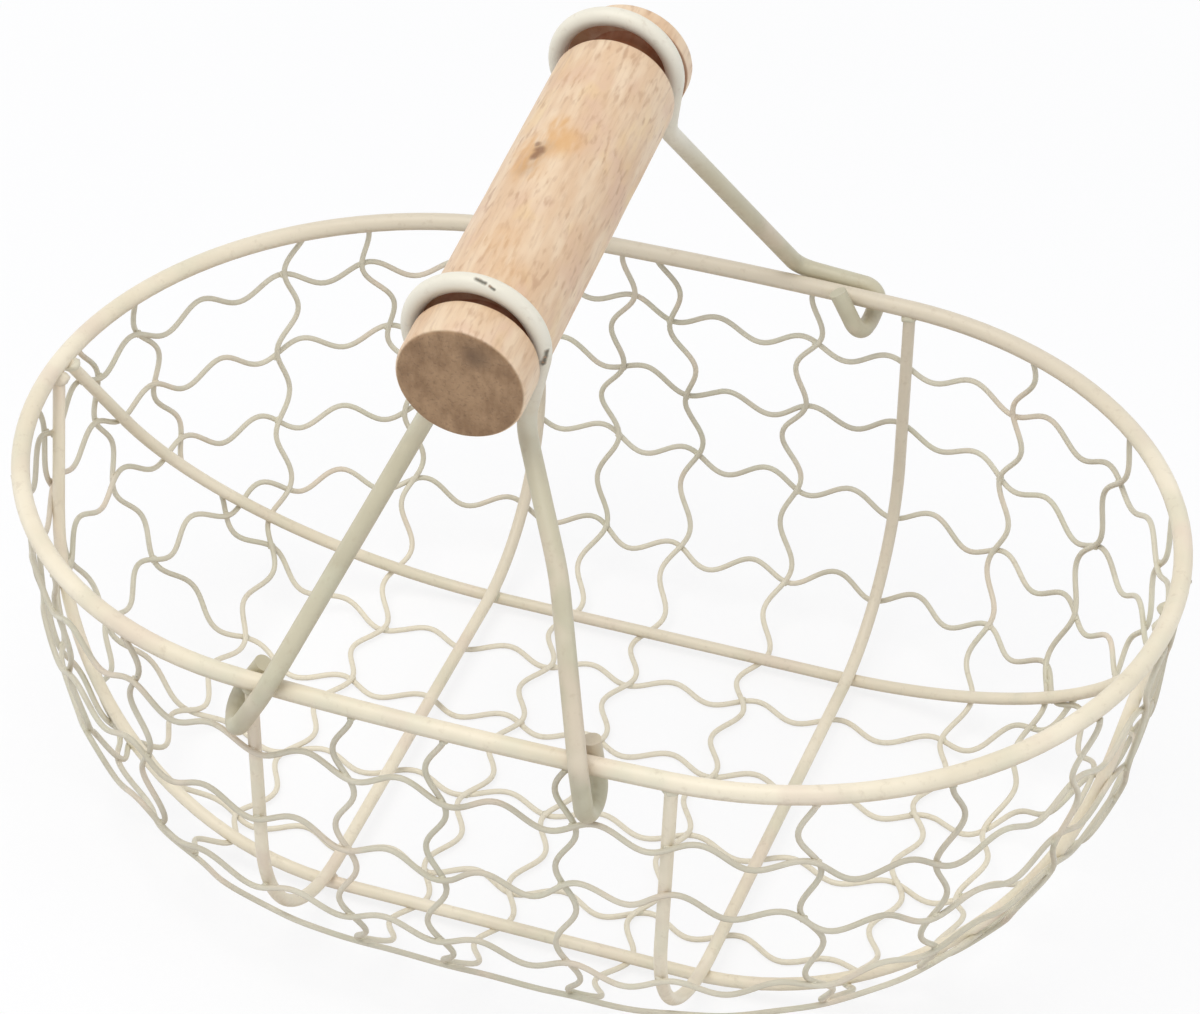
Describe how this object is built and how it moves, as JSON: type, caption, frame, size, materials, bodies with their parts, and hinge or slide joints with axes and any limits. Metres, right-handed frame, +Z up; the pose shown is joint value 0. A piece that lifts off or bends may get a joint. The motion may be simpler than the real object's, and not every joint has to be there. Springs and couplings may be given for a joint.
{
  "type": "egg basket",
  "caption": "Oval wire egg basket: waved wire mesh over a ribbed wire frame, wire bails hooked on the rim and a turned wooden grip that spins.",
  "frame": {"origin": "on the table, under the middle of the basket's bounding box", "axes": "+X along the basket's length, +Y towards the back of the pictured view, +Z up"},
  "size_m": [0.254, 0.1817, 0.1755],
  "materials": {
    "frame_paint": "worn cream enamel on steel wire",
    "mesh_paint": "worn cream enamel on thin steel wire",
    "bail_paint": "cream enamel with small chips",
    "grip_wood": "bare turned wood, lightly handled"
  },
  "bodies": {
    "basket": {"rim": "frame_paint", "rib_left": "frame_paint", "rib_right": "frame_paint", "long_wire_front": "frame_paint", "long_wire_back": "frame_paint", "mesh_ring_top": "mesh_paint", "mesh_ring_upper": "mesh_paint", "mesh_ring_lower": "mesh_paint", "mesh_ring_bottom": "mesh_paint", "cross_wire_1": "mesh_paint", "cross_wire_2": "mesh_paint", "cross_wire_3": "mesh_paint", "cross_wire_4": "mesh_paint", "cross_wire_5": "mesh_paint", "cross_wire_6": "mesh_paint", "cross_wire_7": "mesh_paint", "floor_wire_1": "mesh_paint", "floor_wire_2": "mesh_paint", "floor_wire_3": "mesh_paint", "floor_wire_4": "mesh_paint"},
    "handle": {"bail_front": "bail_paint", "bail_back": "bail_paint"},
    "grip": {"grip": "grip_wood"}
  },
  "joints": [
    {"name": "handle_lift", "type": "slide", "parent": "basket", "child": "handle", "axis": [0, 0, 1], "range_m": [0, 0.003]},
    {"name": "grip_spin", "type": "hinge", "parent": "handle", "child": "grip", "pos_m": [-0.009, 0, 0.156], "axis": [-0.0331, 0.9975, 0.0628], "continuous": true}
  ]
}
